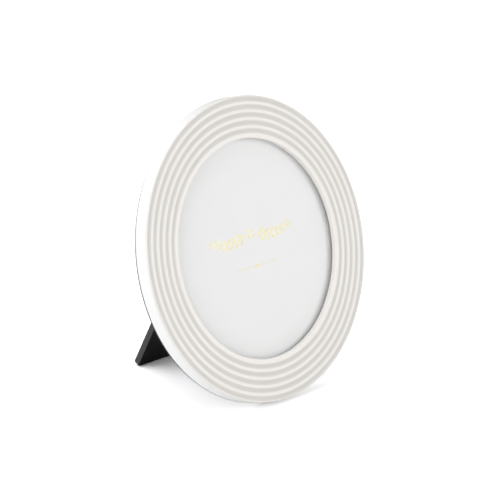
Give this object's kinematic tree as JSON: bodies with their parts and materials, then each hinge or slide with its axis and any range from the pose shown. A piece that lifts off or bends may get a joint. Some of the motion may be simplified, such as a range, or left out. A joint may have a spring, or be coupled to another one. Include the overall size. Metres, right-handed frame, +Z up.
{
  "type": "round picture frame",
  "caption": "Round free-standing picture frame: striped rim, glazed window, board back held by turn buttons, and a hinged easel leg that folds flat.",
  "frame": {"origin": "on the table, under the middle of the bounding box, with the leg open", "axes": "+Z up, the picture faces -Y and leans back towards +Y, +X to the right seen from the front"},
  "size_m": [0.1598, 0.1006, 0.1562],
  "materials": {
    "rim_lacquer": "cream lacquer with soft grey stripes, satin",
    "glass": "clear polished sheet",
    "card": "matt pale card",
    "black_board": "hardboard wrapped in matt black paper",
    "hinge_steel": "plated sheet steel, satin",
    "button_brass": "brass plated, satin"
  },
  "bodies": {
    "frame": {"frame_ring": "rim_lacquer", "glass_pane": "glass", "photo_card": "card", "back_panel": "black_board", "hinge_panel_leaf": "hinge_steel", "hinge_pin": "hinge_steel", "panel_rivet_left": "hinge_steel", "panel_rivet_right": "hinge_steel", "button_screw_1": "button_brass", "button_screw_2": "button_brass", "button_screw_3": "button_brass", "button_screw_4": "button_brass"},
    "leg": {"easel_leg": "black_board", "hinge_leg_leaf": "hinge_steel", "leg_rivet_left": "hinge_steel", "leg_rivet_right": "hinge_steel"},
    "button_1": {"turn_button_1": "button_brass"},
    "button_2": {"turn_button_2": "button_brass"},
    "button_3": {"turn_button_3": "button_brass"},
    "button_4": {"turn_button_4": "button_brass"}
  },
  "joints": [
    {"name": "leg_fold", "type": "hinge", "parent": "frame", "child": "leg", "pos_m": [0, -0.00964, 0.11216], "axis": [-1, 0, 0], "range_deg": [0, 42]},
    {"name": "button_1_turn", "type": "hinge", "parent": "frame", "child": "button_1", "pos_m": [0.05013, -0.00788, 0.12529], "axis": [0, 0.9659, -0.2588], "continuous": true},
    {"name": "button_2_turn", "type": "hinge", "parent": "frame", "child": "button_2", "pos_m": [-0.05013, -0.00788, 0.12529], "axis": [0, 0.9659, -0.2588], "continuous": true},
    {"name": "button_3_turn", "type": "hinge", "parent": "frame", "child": "button_3", "pos_m": [-0.05013, -0.03383, 0.02844], "axis": [0, 0.9659, -0.2588], "continuous": true},
    {"name": "button_4_turn", "type": "hinge", "parent": "frame", "child": "button_4", "pos_m": [0.05013, -0.03383, 0.02844], "axis": [0, 0.9659, -0.2588], "continuous": true}
  ]
}
